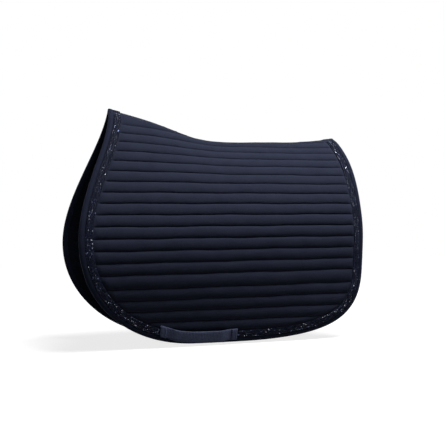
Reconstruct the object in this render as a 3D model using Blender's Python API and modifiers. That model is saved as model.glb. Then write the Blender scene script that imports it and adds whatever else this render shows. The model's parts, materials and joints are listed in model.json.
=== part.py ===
"""Quilted jumping saddle pad: two mirrored halves joined along the spine, each with a flap that hangs from a seam.

Every piece lies on one bent sheet, addressed by two fabric measures: x runs along the horse, front at -X, and
drop runs down the cloth from the flap seam, negative up to the spine. The origin is under the middle of the spine.
"""

import bpy
import numpy as np

# Driving dimensions, in metres and degrees.
CHANNEL = 0.0254

# Cloth outline below and in front of the spine, as (x, drop) with Bezier handles.
SPINE_FRONT = (-0.2895, -0.276)
FRONT_EDGE_TOP_HANDLE = (-0.2915, -0.175)
FRONT_EDGE_LOW_HANDLE = (-0.3775, -0.054)
FRONT_MOST = (-0.3775, 0.056)
FRONT_CORNER_HANDLE = (-0.3775, 0.182)
BOTTOM_DROP = 0.287
BOTTOM_FRONT_HANDLE_X = -0.2715
BOTTOM_FRONT_X = -0.1225
BOTTOM_REAR_X = -0.0105
BOTTOM_REAR_HANDLE_X = 0.219
REAR_CORNER_HANDLE = (0.2695, 0.229)
REAR_MOST = (0.2745, 0.131)
REAR_EDGE_LOW_HANDLE = (0.2835, -0.0185)
REAR_EDGE_TOP_HANDLE = (0.2865, -0.126)
SPINE_REAR = (0.2895, -0.2554)
# Depth of the spine's curve above the flap seam at four even steps between its two ends.
SPINE_DROPS = (-0.2546, -0.2307, -0.2348, -0.2419)

# How the sheet is bent over the back.
SEAM_HALF_WIDTH = 0.135
SEAM_SPLAY = 0.049
SEAM_SLOPE = 75.5
PLUMB_DROP = 0.06
LEAN_DROP = 0.187
LOWER_LEAN = 11.5
LEAN_TOWARDS_FRONT = 23.6
EDGE_CURL = 7.5
EDGE_CURL_WIDTH = 0.04

# Thickness of each layer, and the clearances between pieces.
COVER = 0.001
WADDING = 0.008
LINING = 0.0008
TAPE = 0.001
BAND = 0.0015
LAYER_GAP = 0.0003
TRIM_GAP = 0.0006
FOLD_GAP = 0.0018
SEAM_THREAD_RADIUS = 0.0006
PINCH = 0.0003
TAPE_WIDTH = 0.0115
BAND_WIDTH = 0.0165
SPINE_TAPE_WIDTH = 0.026
FOLD_WEDGE = 42.0

# Webbing keeper that the girth passes through.
KEEPER_LENGTH = 0.174
KEEPER_WIDTH = 0.025
KEEPER_THICKNESS = 0.0016
KEEPER_FRONT_X = -0.201
KEEPER_EDGE_SPACE = 0.004
KEEPER_TAB = 0.013
KEEPER_RAMP = 0.026
KEEPER_STAND_OFF = 0.016

# Mesh spacing.
BEND_PER_STATION = 6.0
DROP_PER_STATION = 0.016
X_PER_STATION = 0.035
MIDDLE_COLUMNS = 6
SEAT_ROWS = 12
FLAP_ROWS = 13

SEAM_CLEARANCE = SEAM_THREAD_RADIUS + LAYER_GAP
HALF_CHANNEL = CHANNEL / 2
STEPS = (np.arange(48) + 0.5) / 48
SIDES = {"left": -1, "right": 1}

COLOURS = {
    "quilted_cover": (0.014, 0.017, 0.032, 0.78, 0.0),
    "wadding": (0.62, 0.62, 0.60, 0.95, 0.0),
    "lining": (0.006, 0.007, 0.011, 0.85, 0.0),
    "binding_tape": (0.010, 0.012, 0.022, 0.42, 0.0),
    "sequin_band": (0.012, 0.014, 0.030, 0.25, 0.5),
    "keeper_webbing": (0.016, 0.019, 0.034, 0.70, 0.0),
    "seam_thread": (0.008, 0.009, 0.016, 0.80, 0.0),
}


def clear_scene():
    for old in list(bpy.data.objects):
        bpy.data.objects.remove(old, do_unlink=True)


def make_collection(name):
    collection = bpy.data.collections.new(name)
    bpy.context.scene.collection.children.link(collection)
    return collection


def material(name):
    """Principled material of one cloth; every piece gets its own copy."""
    red, green, blue, roughness, metallic = COLOURS[name]
    made = bpy.data.materials.new(name)
    made.use_nodes = True
    shader = made.node_tree.nodes["Principled BSDF"]
    shader.inputs["Base Color"].default_value = (red, green, blue, 1.0)
    shader.inputs["Roughness"].default_value = roughness
    shader.inputs["Metallic"].default_value = metallic
    return made


# The flat cloth: outline, spine and distances along the edge.


def bezier(start, start_handle, end_handle, end, count=40):
    t = np.linspace(0.0, 1.0, count)[:, None]
    corners = [np.array(point) for point in (start, start_handle, end_handle, end)]
    weights = ((1 - t) ** 3, 3 * t * (1 - t) ** 2, 3 * t**2 * (1 - t), t**3)
    return sum(weight * corner for weight, corner in zip(weights, corners))


def outline():
    """Outer edge of the bound cloth, from the front of the spine round the bottom to its rear."""
    bottom_front = (BOTTOM_FRONT_X, BOTTOM_DROP)
    bottom_rear = (BOTTOM_REAR_X, BOTTOM_DROP)
    curves = (
        (SPINE_FRONT, FRONT_EDGE_TOP_HANDLE, FRONT_EDGE_LOW_HANDLE, FRONT_MOST),
        (FRONT_MOST, FRONT_CORNER_HANDLE, (BOTTOM_FRONT_HANDLE_X, BOTTOM_DROP), bottom_front),
        (bottom_front, bottom_front, bottom_rear, bottom_rear),
        (bottom_rear, (BOTTOM_REAR_HANDLE_X, BOTTOM_DROP), REAR_CORNER_HANDLE, REAR_MOST),
        (REAR_MOST, REAR_EDGE_LOW_HANDLE, REAR_EDGE_TOP_HANDLE, SPINE_REAR),
    )
    pieces = [bezier(*curve)[1:] for curve in curves]
    return np.concatenate([np.array([SPINE_FRONT])] + pieces)


def rim(inset):
    """The outline moved into the cloth by a distance."""
    line = outline()
    along = np.gradient(line, axis=0)
    along /= np.linalg.norm(along, axis=1)[:, None]
    inward = np.stack([along[:, 1], -along[:, 0]], axis=1)
    return line + inset * inward


def natural_spline(knots, values, x):
    """Smooth curve with free ends through evenly spaced knots."""
    step = knots[1] - knots[0]
    count = len(knots)
    system = np.eye(count)
    bends = np.zeros(count)
    for i in range(1, count - 1):
        system[i, i - 1 : i + 2] = (1.0, 4.0, 1.0)
        bends[i] = 6.0 * (values[i - 1] - 2.0 * values[i] + values[i + 1]) / step**2
    curvature = np.linalg.solve(system, bends)
    cell = np.clip(((x - knots[0]) / step).astype(int), 0, count - 2)
    ahead = (x - knots[cell]) / step
    behind = 1.0 - ahead
    straight = behind * values[cell] + ahead * values[cell + 1]
    bowed = (behind**3 - behind) * curvature[cell] + (ahead**3 - ahead) * curvature[cell + 1]
    return straight + bowed * step**2 / 6.0


def spine_drop(x):
    """Drop of the spine at x; it stays level past both ends, under the edges that lean out."""
    values = np.array((SPINE_FRONT[1],) + SPINE_DROPS + (SPINE_REAR[1],))
    knots = np.linspace(SPINE_FRONT[0], SPINE_REAR[0], len(values))
    return natural_spline(knots, values, np.clip(np.asarray(x, dtype=float), knots[0], knots[-1]))


# The bent sheet.


def seam_half_width(x):
    return SEAM_HALF_WIDTH + SEAM_SPLAY * x


def spine_slope(x):
    """Slope at the spine, in degrees, that lets the panel reach its flap seam."""
    length = -spine_drop(x)
    reach = seam_half_width(np.asarray(x, dtype=float))
    seam = np.radians(SEAM_SLOPE)
    low = np.full_like(length, np.radians(2.0))
    high = np.full_like(length, seam - 0.001)
    for _ in range(40):
        middle = (low + high) / 2
        too_far = length * (np.sin(seam) - np.sin(middle)) / (seam - middle) > reach
        low = np.where(too_far, middle, low)
        high = np.where(too_far, high, middle)
    return np.degrees((low + high) / 2)


def slope(x, drop):
    """Slope of the cloth below level, in degrees, at a place on it."""
    to_spine = np.clip(drop / spine_drop(x), 0.0, 1.0)
    above = SEAM_SLOPE + (spine_slope(x) - SEAM_SLOPE) * to_spine
    lean = LOWER_LEAN - LEAN_TOWARDS_FRONT * x
    to_plumb = np.clip(drop / PLUMB_DROP, 0.0, 1.0)
    to_lean = np.clip((drop - PLUMB_DROP) / (LEAN_DROP - PLUMB_DROP), 0.0, 1.0)
    to_edge = np.clip((drop - BOTTOM_DROP + EDGE_CURL_WIDTH) / EDGE_CURL_WIDTH, 0.0, 1.0)
    below = SEAM_SLOPE + (90.0 - SEAM_SLOPE) * to_plumb + lean * to_lean + EDGE_CURL * to_edge
    return np.where(drop < 0.0, above, below)


def sheet(x, drop):
    """Half-width and height of the sheet above its flap seam."""
    x = np.asarray(x, dtype=float)
    drop = np.asarray(drop, dtype=float)
    angles = np.radians(slope(x[..., None], drop[..., None] * STEPS))
    half_width = seam_half_width(x) + drop * np.cos(angles).mean(axis=-1)
    return half_width, -drop * np.sin(angles).mean(axis=-1)


def seam_height():
    """Height of the flap seam that puts the underside of the spine tape at the origin."""
    middle = np.array([0.0])
    rise = sheet(middle, spine_drop(middle))[1][0]
    below = WADDING / 2 + LAYER_GAP + LINING + TRIM_GAP + TAPE
    return below / np.cos(np.radians(spine_slope(middle)[0])) - rise


def place(side, x, drop, lift):
    """World points on the sheet, moved off it by lift along its outward normal."""
    x, drop, lift = np.broadcast_arrays(x, drop, lift)
    small = 0.0005
    half_width, height = sheet(x, drop)
    lower = sheet(x, drop + small)
    behind = sheet(x + small, drop)
    down = np.stack([np.zeros_like(x), lower[0] - half_width, lower[1] - height], axis=-1)
    back = np.stack([np.full_like(x, small), behind[0] - half_width, behind[1] - height], axis=-1)
    normal = np.cross(back, down)
    normal /= np.linalg.norm(normal, axis=-1)[..., None]
    points = np.stack([x, half_width, height + seam_height()], axis=-1) + lift[..., None] * normal
    return points * np.array([1.0, side, 1.0])


def plumpness(x, drop):
    """Half thickness of the wadding, pinched where it is sewn at the spine and the flap seam."""
    from_seam = np.minimum(drop - spine_drop(x), np.abs(drop))
    share = np.clip((from_seam - SEAM_CLEARANCE) / (HALF_CHANNEL - SEAM_CLEARANCE), 0.0, 1.0)
    return PINCH + (WADDING / 2 - PINCH) * share


def lift_of(layer, x, drop):
    """Distance of a layer's middle from the sheet, outward positive."""
    wadding = plumpness(x, drop)
    on_cover = wadding + LAYER_GAP + COVER + TRIM_GAP
    heights = {
        "wadding": np.zeros_like(wadding),
        "cover": wadding + LAYER_GAP + COVER / 2,
        "lining": -(wadding + LAYER_GAP + LINING / 2),
        "outer_tape": on_cover + TAPE / 2,
        "inner_tape": -(wadding + LAYER_GAP + LINING + TRIM_GAP + TAPE / 2),
        "band": on_cover + BAND / 2,
    }
    return heights[layer]


def reach_of(layer):
    """How far a layer's farther face stands off the sheet where the wadding is pinched."""
    depths = {
        "wadding": PINCH,
        "cover": PINCH + LAYER_GAP + COVER,
        "lining": PINCH + LAYER_GAP + LINING,
        "outer_tape": PINCH + LAYER_GAP + COVER + TRIM_GAP + TAPE,
        "inner_tape": PINCH + LAYER_GAP + LINING + TRIM_GAP + TAPE,
        "band": PINCH + LAYER_GAP + COVER + TRIM_GAP + BAND,
    }
    return depths[layer]


def wedge_setback(layer, angle):
    """Distance from a seam at which a pinched layer clears a plane through it, at an angle off the normal."""
    rise = (WADDING / 2 - PINCH) / (HALF_CHANNEL - SEAM_CLEARANCE)
    wedge = np.tan(np.radians(angle))
    return SEAM_CLEARANCE + (reach_of(layer) + LAYER_GAP / 2) * wedge / (1.0 - rise * wedge)


def seam_setback(layer):
    """Distance that a layer keeps from the flap seam, so that the fold can close."""
    return SEAM_CLEARANCE if layer == "wadding" else wedge_setback(layer, FOLD_WEDGE)


def spine_setback(layer, x):
    """Distance that a layer keeps from the spine; inner layers meet their mirror image there."""
    return wedge_setback(layer, spine_slope(x)) if layer == "inner_tape" else SEAM_CLEARANCE


def lining_setback():
    """Distance that the linings keep from the spine, wide enough for its steepest part."""
    x = np.linspace(SPINE_FRONT[0], SPINE_REAR[0], 20)
    return wedge_setback("lining", spine_slope(x)).max()


# Meshes.


def add_object(name, kind, mesh, collection, parent):
    made = bpy.data.objects.new(name, mesh)
    made.data.materials.append(material(kind))
    collection.objects.link(made)
    made.parent = parent
    return made


def add_shell(name, kind, points, thickness, collection, parent, weights=None):
    """An open grid of world points, given thickness on both of its faces."""
    rows, columns = points.shape[:2]
    origin = np.array(parent.location) if parent else np.zeros(3)
    corners = np.arange(rows * columns).reshape(rows, columns)
    faces = np.stack([corners[:-1, :-1], corners[:-1, 1:], corners[1:, 1:], corners[1:, :-1]], axis=-1)
    mesh = bpy.data.meshes.new(name)
    mesh.from_pydata((points - origin).reshape(-1, 3).tolist(), [], faces.reshape(-1, 4).tolist())
    made = add_object(name, kind, mesh, collection, parent)
    shell = made.modifiers.new("Thickness", "SOLIDIFY")
    shell.thickness = thickness
    shell.offset = 0.0
    shell.use_even_offset = weights is None
    if weights is not None:
        group = made.vertex_groups.new(name="plumpness")
        for index, weight in enumerate(weights.reshape(-1)):
            group.add([index], float(weight), "REPLACE")
        shell.vertex_group = group.name
        shell.thickness_vertex_group = 0.0
    return made


def add_thread(name, points, collection):
    """A line of stitching: a thin round curve with closed ends."""
    curve = bpy.data.curves.new(name, "CURVE")
    curve.dimensions = "3D"
    curve.bevel_depth = SEAM_THREAD_RADIUS
    curve.bevel_resolution = 1
    curve.use_fill_caps = True
    line = curve.splines.new("POLY")
    line.points.add(len(points) - 1)
    for spot, point in zip(line.points, points):
        spot.co = (*point, 1.0)
    return add_object(name, "seam_thread", curve, collection, None)


# Stations along the edge, shared by every piece that follows it.


def edge_lengths(line):
    return np.concatenate([[0.0], np.cumsum(np.linalg.norm(np.diff(line, axis=0), axis=1))])


def seam_crossings():
    """Positions along the outline where it crosses the flap seam, at the front and at the rear."""
    line = outline()
    lengths = edge_lengths(line)
    half = len(line) // 2
    front = np.interp(0.0, line[:half, 1], lengths[:half])
    rear = np.interp(0.0, -line[half:, 1], lengths[half:])
    return front, rear, lengths[-1]


def full_position(kind, crossing, inward):
    """Position near a crossing of a seam where the outline is half a channel from it."""
    line = outline()
    lengths = edge_lengths(line)
    near = np.abs(lengths - crossing) < 3 * HALF_CHANNEL
    from_seam = np.abs(line[near, 1] - beside(kind, line[near, 0], 0.0))
    ahead = (lengths[near] - crossing) * inward > 0.0
    return np.interp(HALF_CHANNEL, from_seam[ahead][::inward], lengths[near][ahead][::inward])


def edge_stations(first, last, start_kind, end_kind):
    """Positions along the outline from first to last, closer together where the edge bends."""
    line = outline()
    lengths = edge_lengths(line)
    steps = np.diff(line, axis=0)
    turns = np.abs(np.diff(np.unwrap(np.arctan2(steps[:, 1], steps[:, 0])), append=0.0))
    turns[-1] = 0.0
    effort = np.sqrt(
        (np.degrees(turns) / BEND_PER_STATION) ** 2
        + (steps[:, 1] / DROP_PER_STATION) ** 2
        + (steps[:, 0] / X_PER_STATION) ** 2
    )
    spent = np.concatenate([[0.0], np.cumsum(effort)])
    full = (full_position(start_kind, first, 1), full_position(end_kind, last, -1))
    start, end = np.interp(full, lengths, spent)
    count = int(np.ceil(end - start)) + 1
    middle = np.interp(np.linspace(start, end, count), spent, lengths)
    return np.concatenate([[first], middle, [last]])


def rim_points(positions, inset):
    """Places on the inset outline, at positions measured along the outer edge."""
    lengths = edge_lengths(outline())
    line = rim(inset)
    return np.interp(positions, lengths, line[:, 0]), np.interp(positions, lengths, line[:, 1])


def edge_span(part):
    """First and last position of a part's edge, with the seam that closes each of its ends."""
    front, rear, end = seam_crossings()
    spans = {
        "seat_front": (0.0, front, "spine", "above"),
        "flap": (front, rear, "below", "below"),
        "seat_rear": (rear, end, "above", "spine"),
    }
    return spans[part]


def beside(kind, x, distance):
    """Drop at a distance from a seam: below the spine, or above or below the flap seam."""
    if kind == "spine":
        return spine_drop(x) + distance
    return -distance if kind == "above" else distance


def end_drop(kind, layer, x):
    """Drop at which a layer ends beside a seam."""
    return beside(kind, x, spine_setback(layer, x) if kind == "spine" else seam_setback(layer))


def slide(x, drop, index, towards, target):
    """Move one place along its edge until it is at another drop."""
    run = (x[towards] - x[index]) / (drop[towards] - drop[index])
    x[index] += run * (target - drop[index])
    drop[index] = target


def edge_line(layer, inset, positions, start_kind, end_kind):
    """Places along the inset edge, ending exactly where the layer ends; a kind of None leaves an end alone."""
    x, drop = rim_points(positions, inset)
    start = end_drop(start_kind, layer, x[0]) if start_kind else drop[0]
    end = end_drop(end_kind, layer, x[-1]) if end_kind else drop[-1]
    slide(x, drop, 0, 1, start)
    slide(x, drop, -1, -2, end)
    lowest = BOTTOM_DROP if start_kind == end_kind else max(start, end)
    return x, np.clip(drop, min(start, end), lowest)


def edge_strip(side, part, profile):
    """Grid that follows the edge: one row for each station and one column for each profile point."""
    first, last, start_kind, end_kind = edge_span(part)
    positions = edge_stations(first, last, start_kind, end_kind)
    columns = []
    for layer, inset in profile:
        x, drop = edge_line(layer, inset, positions, start_kind, end_kind)
        slide(x, drop, 1, 2, beside(start_kind, x[1], HALF_CHANNEL))
        slide(x, drop, -2, -3, beside(end_kind, x[-2], HALF_CHANNEL))
        columns.append(place(side, x, drop, lift_of(layer, x, drop)))
    return np.stack(columns, axis=1)


def build_binding(side_name, part, collection, parent):
    """Tape folded over the raw edges of the three layers."""
    over_edge = TAPE / 2
    profile = (
        ("outer_tape", TAPE_WIDTH),
        ("outer_tape", over_edge),
        ("inner_tape", over_edge),
        ("inner_tape", TAPE_WIDTH),
    )
    points = edge_strip(SIDES[side_name], part, profile)
    name = f"{side_name}_{part}_binding"
    add_shell(name, "binding_tape", points, TAPE, collection, parent)


def build_band(side_name, part, collection, parent):
    """Decorative band sewn on the cover, beside the binding."""
    outer = TAPE_WIDTH + TRIM_GAP
    profile = (("band", outer), ("band", outer + BAND_WIDTH))
    points = edge_strip(SIDES[side_name], part, profile)
    name = f"{side_name}_{part}_sequin_band"
    add_shell(name, "sequin_band", points, BAND, collection, parent)


# Panels: the three layers of each seat half and of each flap.


def column_distances(length):
    """Columns of a panel: narrow ones under the binding and the band, even ones between them."""
    margins = np.array([0.0, TAPE_WIDTH, TAPE_WIDTH + BAND_WIDTH])
    middle = np.linspace(margins[-1], length - margins[-1], MIDDLE_COLUMNS + 1)[1:-1]
    return np.concatenate([margins, middle, length - margins[::-1]])


def row_distances(length, rows, spine_end):
    """Rows of a panel from its top edge: where the skins start and end, with even ones past the pinched part."""
    full = HALF_CHANNEL - SEAM_CLEARANCE
    skin = seam_setback("cover") - SEAM_CLEARANCE
    if not spine_end:
        return np.concatenate([[0.0, skin], np.linspace(full, length, rows)])
    lining = lining_setback() - SEAM_CLEARANCE
    middle = np.linspace(full, length - full, rows)
    return np.concatenate([[0.0, lining], middle, [length - skin, length]])


def resample(line, measure, distances_of):
    """Points of a polyline at the distances that a rule gives for its whole measure."""
    distances = distances_of(measure[-1])
    return np.stack([np.interp(distances, measure, line[:, axis]) for axis in (0, 1)], axis=1)


def fill_patch(top, bottom, left, right):
    """Coons patch: a grid that blends four sides of the flat cloth."""
    across = (edge_lengths(top) / edge_lengths(top)[-1])[None, :, None]
    down = (edge_lengths(left) / edge_lengths(left)[-1])[:, None, None]
    between_ends = (1 - down) * top[None] + down * bottom[None]
    between_sides = (1 - across) * left[:, None] + across * right[:, None]
    upper = (1 - across) * top[0] + across * top[-1]
    lower = (1 - across) * bottom[0] + across * bottom[-1]
    return between_ends + between_sides - (1 - down) * upper - down * lower


def corner_positions():
    """Positions where the outline has turned halfway round its front and rear corners."""
    line = outline()
    steps = np.diff(line, axis=0)
    turned = np.degrees(np.unwrap(np.arctan2(steps[:, 0], steps[:, 1])))
    lengths = edge_lengths(line)
    return [lengths[np.argmin(np.abs(turned - heading))] for heading in (45.0, 135.0)]


def cut_edge(first, last, start_kind, end_kind):
    """The cut edge of the layers, just inside the binding."""
    positions = np.linspace(first, last, 80)
    return np.stack(edge_line("wadding", TAPE + FOLD_GAP, positions, start_kind, end_kind), axis=1)


def panel_side(first, last, start_kind, end_kind, rows, spine_end):
    """One side of a panel along its cut edge, with its rows at measured drops."""
    line = cut_edge(first, last, start_kind, end_kind)
    fall = np.abs(line[:, 1] - line[0, 1])
    return resample(line, fall, lambda length: row_distances(length, rows, spine_end))


def level_side(left, right, drop_of):
    """A side of a panel that runs from front to rear along the spine or the flap seam."""
    x = left[0] + column_distances(right[0] - left[0])
    return np.stack([x, np.broadcast_to(drop_of(x), x.shape)], axis=1)


def seat_grid():
    """Flat grid of one seat half, from the spine down to the flap seam."""
    front, rear, end = seam_crossings()
    left, right = (
        panel_side(first, last, "spine", "above", SEAT_ROWS, True) for first, last in ((0.0, front), (end, rear))
    )
    top = level_side(left[0], right[0], lambda x: end_drop("spine", "wadding", x))
    bottom = level_side(left[-1], right[-1], lambda x: end_drop("above", "wadding", x))
    return fill_patch(top, bottom, left, right)


def flap_grid():
    """Flat grid of one flap, from the flap seam down to its bottom edge."""
    front, rear, _ = seam_crossings()
    front_corner, rear_corner = corner_positions()
    left, right = (
        panel_side(first, last, "below", None, FLAP_ROWS, False)
        for first, last in ((front, front_corner), (rear, rear_corner))
    )
    line = cut_edge(front_corner, rear_corner, None, None)
    bottom = resample(line, edge_lengths(line), column_distances)
    top = level_side(left[0], right[0], lambda x: end_drop("below", "wadding", x))
    return fill_patch(top, bottom, left, right)


def build_panel(side_name, part, collection, parent):
    """Cover, wadding and lining of a seat half or a flap; the skins stop short of the seam, where they fold."""
    grid = seat_grid() if part == "seat" else flap_grid()
    rows = {
        "seat": {"cover": slice(0, -1), "wadding": slice(None), "lining": slice(1, -1)},
        "flap": {"cover": slice(1, None), "wadding": slice(None), "lining": slice(1, None)},
    }
    layers = (("cover", "quilted_cover", COVER), ("wadding", "wadding", WADDING), ("lining", "lining", LINING))
    for layer, kind, thickness in layers:
        x, drop = np.moveaxis(grid[rows[part][layer]], -1, 0)
        points = place(SIDES[side_name], x, drop, lift_of(layer, x, drop))
        weights = plumpness(x, drop) / (WADDING / 2) if layer == "wadding" else None
        add_shell(f"{side_name}_{part}_{layer}", kind, points, thickness, collection, parent, weights)


# Keeper, seams and the tape under the spine.


def bottom_edge(x):
    """Drop of the lower edge at x, ahead of the rear corner."""
    line = outline()
    low = line[(line[:, 1] > BOTTOM_DROP / 2) & (line[:, 0] < BOTTOM_REAR_X + 0.001)]
    return np.interp(x, low[:, 0], low[:, 1])


def build_keeper(side_name, collection, parent):
    """Webbing strap sewn down at both ends over the lower edge; the girth passes behind its bowed middle."""
    tab, ramp = KEEPER_TAB, KEEPER_RAMP
    along = np.array([0.0, tab, tab + ramp / 2, tab + ramp])
    raised = np.array([0.0, 0.0, 0.5, 1.0])
    along = np.concatenate([along, [KEEPER_LENGTH / 2], KEEPER_LENGTH - along[::-1]])
    raised = np.concatenate([raised, [1.0], raised[::-1]])
    x = KEEPER_FRONT_X + along
    middle = bottom_edge(x) - KEEPER_EDGE_SPACE - KEEPER_WIDTH / 2
    on_band = WADDING / 2 + LAYER_GAP + COVER + TRIM_GAP + BAND + LAYER_GAP + KEEPER_THICKNESS / 2
    lift = on_band + KEEPER_STAND_OFF * raised
    across = np.array([-KEEPER_WIDTH / 2, 0.0, KEEPER_WIDTH / 2])
    drop = middle[None, :] + across[:, None]
    points = place(SIDES[side_name], x[None, :], drop, lift[None, :])
    add_shell(f"{side_name}_girth_keeper", "keeper_webbing", points, KEEPER_THICKNESS, collection, parent)


def seam_ends(inset):
    """Front and rear x of the flap seam, inside the binding."""
    line = rim(inset)
    half = len(line) // 2
    return np.interp(0.0, line[:half, 1], line[:half, 0]), np.interp(0.0, -line[half:, 1], line[half:, 0])


def build_seams(collection):
    """Stitching along each flap seam and along the spine."""
    inside = TAPE + TRIM_GAP + LAYER_GAP
    front, rear = seam_ends(inside)
    for side_name, side in SIDES.items():
        x = np.array([front, rear])
        points = place(side, x, np.zeros(2), np.zeros(2))
        add_thread(f"{side_name}_flap_seam", points, collection)
    x = np.clip(seat_grid()[0, :, 0], SPINE_FRONT[0] + inside, SPINE_REAR[0] - inside)
    points = place(1, x, spine_drop(x), np.zeros_like(x))
    points[:, 1] = 0.0
    add_thread("spine_seam", points, collection)


def build_spine_tape(collection):
    """Tape that covers the spine seam on the underside, between the bindings."""
    inside = TAPE_WIDTH + TRIM_GAP
    columns = seat_grid()[0, :, 0]
    x = np.unique(np.clip(columns, SPINE_FRONT[0] + inside, SPINE_REAR[0] - inside))
    below = WADDING / 2 + LAYER_GAP + LINING + TRIM_GAP + TAPE / 2
    edge_drop = spine_drop(x) + SPINE_TAPE_WIDTH / 2 + below * np.tan(np.radians(spine_slope(x)))
    ridge = place(1, x, spine_drop(x), np.zeros_like(x))
    ridge[:, 1] = 0.0
    ridge[:, 2] -= below / np.cos(np.radians(spine_slope(x)))
    left, right = (place(side, x, edge_drop, -below) for side in (-1, 1))
    points = np.stack([left, ridge, right], axis=1)
    add_shell("spine_tape", "binding_tape", points, TAPE, collection, None)


def add_hinge(side_name, collection):
    """Empty on a flap seam, which carries that flap's pieces."""
    hinge = bpy.data.objects.new(f"{side_name}_flap_hinge", None)
    hinge.location = (0.0, SIDES[side_name] * SEAM_HALF_WIDTH, seam_height())
    collection.objects.link(hinge)
    return hinge


def main():
    clear_scene()
    collection = make_collection("saddle_pad")
    for side_name in SIDES:
        build_panel(side_name, "seat", collection, None)
        for part in ("seat_front", "seat_rear"):
            build_binding(side_name, part, collection, None)
            build_band(side_name, part, collection, None)
        hinge = add_hinge(side_name, collection)
        build_panel(side_name, "flap", collection, hinge)
        build_binding(side_name, "flap", collection, hinge)
        build_band(side_name, "flap", collection, hinge)
        build_keeper(side_name, collection, hinge)
    build_seams(collection)
    build_spine_tape(collection)


main()
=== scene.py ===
# %% [markdown]
# # A quilted saddle pad
# A jumping pad is one soft quilt, bent over the horse's back. Its cover, filling and lining are
# sewn together in straight channels, and the edge is bound with tape. This lesson lays every
# piece out flat, in the measures of the cloth, and then bends it over the back with one set of
# formulas, so that all of the layers stay together.

import json
import math

import bmesh
import bpy
import numpy as np
from mathutils import Matrix, Vector


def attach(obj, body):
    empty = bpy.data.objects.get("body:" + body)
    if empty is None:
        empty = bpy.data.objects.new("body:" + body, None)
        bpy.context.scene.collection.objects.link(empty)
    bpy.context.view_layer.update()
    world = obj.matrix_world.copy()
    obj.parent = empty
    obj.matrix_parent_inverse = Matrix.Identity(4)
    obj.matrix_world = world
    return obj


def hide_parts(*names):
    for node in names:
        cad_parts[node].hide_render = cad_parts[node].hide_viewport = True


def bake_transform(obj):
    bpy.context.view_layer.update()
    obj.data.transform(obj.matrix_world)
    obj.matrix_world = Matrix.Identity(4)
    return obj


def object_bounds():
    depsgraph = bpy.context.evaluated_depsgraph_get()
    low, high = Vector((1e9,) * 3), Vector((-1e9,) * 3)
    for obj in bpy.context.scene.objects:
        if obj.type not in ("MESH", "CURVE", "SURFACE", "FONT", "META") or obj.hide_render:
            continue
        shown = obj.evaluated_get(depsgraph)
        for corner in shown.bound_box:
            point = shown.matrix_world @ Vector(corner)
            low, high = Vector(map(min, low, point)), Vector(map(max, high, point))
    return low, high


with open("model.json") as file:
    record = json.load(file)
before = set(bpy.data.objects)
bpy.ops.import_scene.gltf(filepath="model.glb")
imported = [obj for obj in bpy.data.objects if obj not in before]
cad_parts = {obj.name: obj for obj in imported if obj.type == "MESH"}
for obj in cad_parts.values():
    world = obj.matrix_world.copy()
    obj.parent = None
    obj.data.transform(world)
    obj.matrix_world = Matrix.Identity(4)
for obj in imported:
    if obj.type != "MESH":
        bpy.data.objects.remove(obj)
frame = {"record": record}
cad_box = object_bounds()
hinges = frame["record"]["behaviour"]["joints"]
seam_height = hinges[0]["pos_m"][2]

# %% [markdown]
# ## Camera
# The pad is seen from its near side, a little from the front, with the eye just below the level
# of the flap seam. The camera is built from its own three directions, which is easier to keep
# exact than three turns.

# %% Camera
camera_data = bpy.data.cameras.new("Camera")
camera_data.lens = 55.84
camera = bpy.data.objects.new("Camera", camera_data)
bpy.context.scene.collection.objects.link(camera)
bpy.context.scene.camera = camera
yaw, pitch, roll = (math.radians(angle) for angle in (20.48, 1.69, -1.017))
forward = Vector((math.sin(yaw) * math.cos(pitch), math.cos(yaw) * math.cos(pitch), math.sin(pitch)))
level_right = Vector((math.cos(yaw), -math.sin(yaw), 0.0))
level_up = level_right.cross(forward)
right = level_right * math.cos(roll) + level_up * math.sin(roll)
up = level_up * math.cos(roll) - level_right * math.sin(roll)
turn = Matrix((right, up, -forward)).transposed().to_4x4()
camera.matrix_world = Matrix.Translation((-0.5952, -1.5507, -0.2327)) @ turn
print("camera looks along", [round(value, 3) for value in forward])

# %% [markdown]
# ## Light and ground
# Dark cloth shows its quilting only if the light comes mostly from above, so that each channel is
# lit on top and falls into shade below. One large soft lamp overhead does that. A weak lamp in
# front keeps the shade readable. The ground and the sky look white to the eye, but throw little
# light back, so that the shade stays deep.

# %% Light and ground
scene = bpy.context.scene
scene.view_settings.view_transform = "Standard"


def soft_lamp(name, place, aim, size, power):
    """A square lamp at a place, turned to face a point."""
    data = bpy.data.lights.new(name, "AREA")
    data.shape = "SQUARE"
    data.size = size
    data.energy = power
    lamp = bpy.data.objects.new(name, data)
    scene.collection.objects.link(lamp)
    lamp.location = place
    lamp.rotation_euler = (Vector(aim) - Vector(place)).to_track_quat("-Z", "Y").to_euler()


WORLD_LIGHT = 0.028
FLOOR_SIZE = 6.0
FLOOR_GAP = 0.001
FLOOR_GREY_SEEN = 0.5
FLOOR_GREY_LIT = 0.08

soft_lamp("Overhead", (0.4, -0.88, 1.7), (0.0, -0.1, -0.2), 1.1, 64.0)
soft_lamp("Front", (0.7, -2.4, 0.9), (0.0, 0.0, -0.2), 1.4, 1.5)


def white_to_the_eye(tree, seen, lit):
    """Shader that is one thing to the camera, to gloss and to glass, and another to the light on the object."""
    path = tree.nodes.new("ShaderNodeLightPath")
    either = tree.nodes.new("ShaderNodeMath")
    either.operation = "MAXIMUM"
    tree.links.new(path.outputs["Is Camera Ray"], either.inputs[0])
    tree.links.new(path.outputs["Is Glossy Ray"], either.inputs[1])
    any_of_three = tree.nodes.new("ShaderNodeMath")
    any_of_three.operation = "MAXIMUM"
    tree.links.new(either.outputs[0], any_of_three.inputs[0])
    tree.links.new(path.outputs["Is Transmission Ray"], any_of_three.inputs[1])
    mix = tree.nodes.new("ShaderNodeMixShader")
    tree.links.new(any_of_three.outputs[0], mix.inputs["Fac"])
    tree.links.new(lit, mix.inputs[1])
    tree.links.new(seen, mix.inputs[2])
    return mix.outputs[0]


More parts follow.
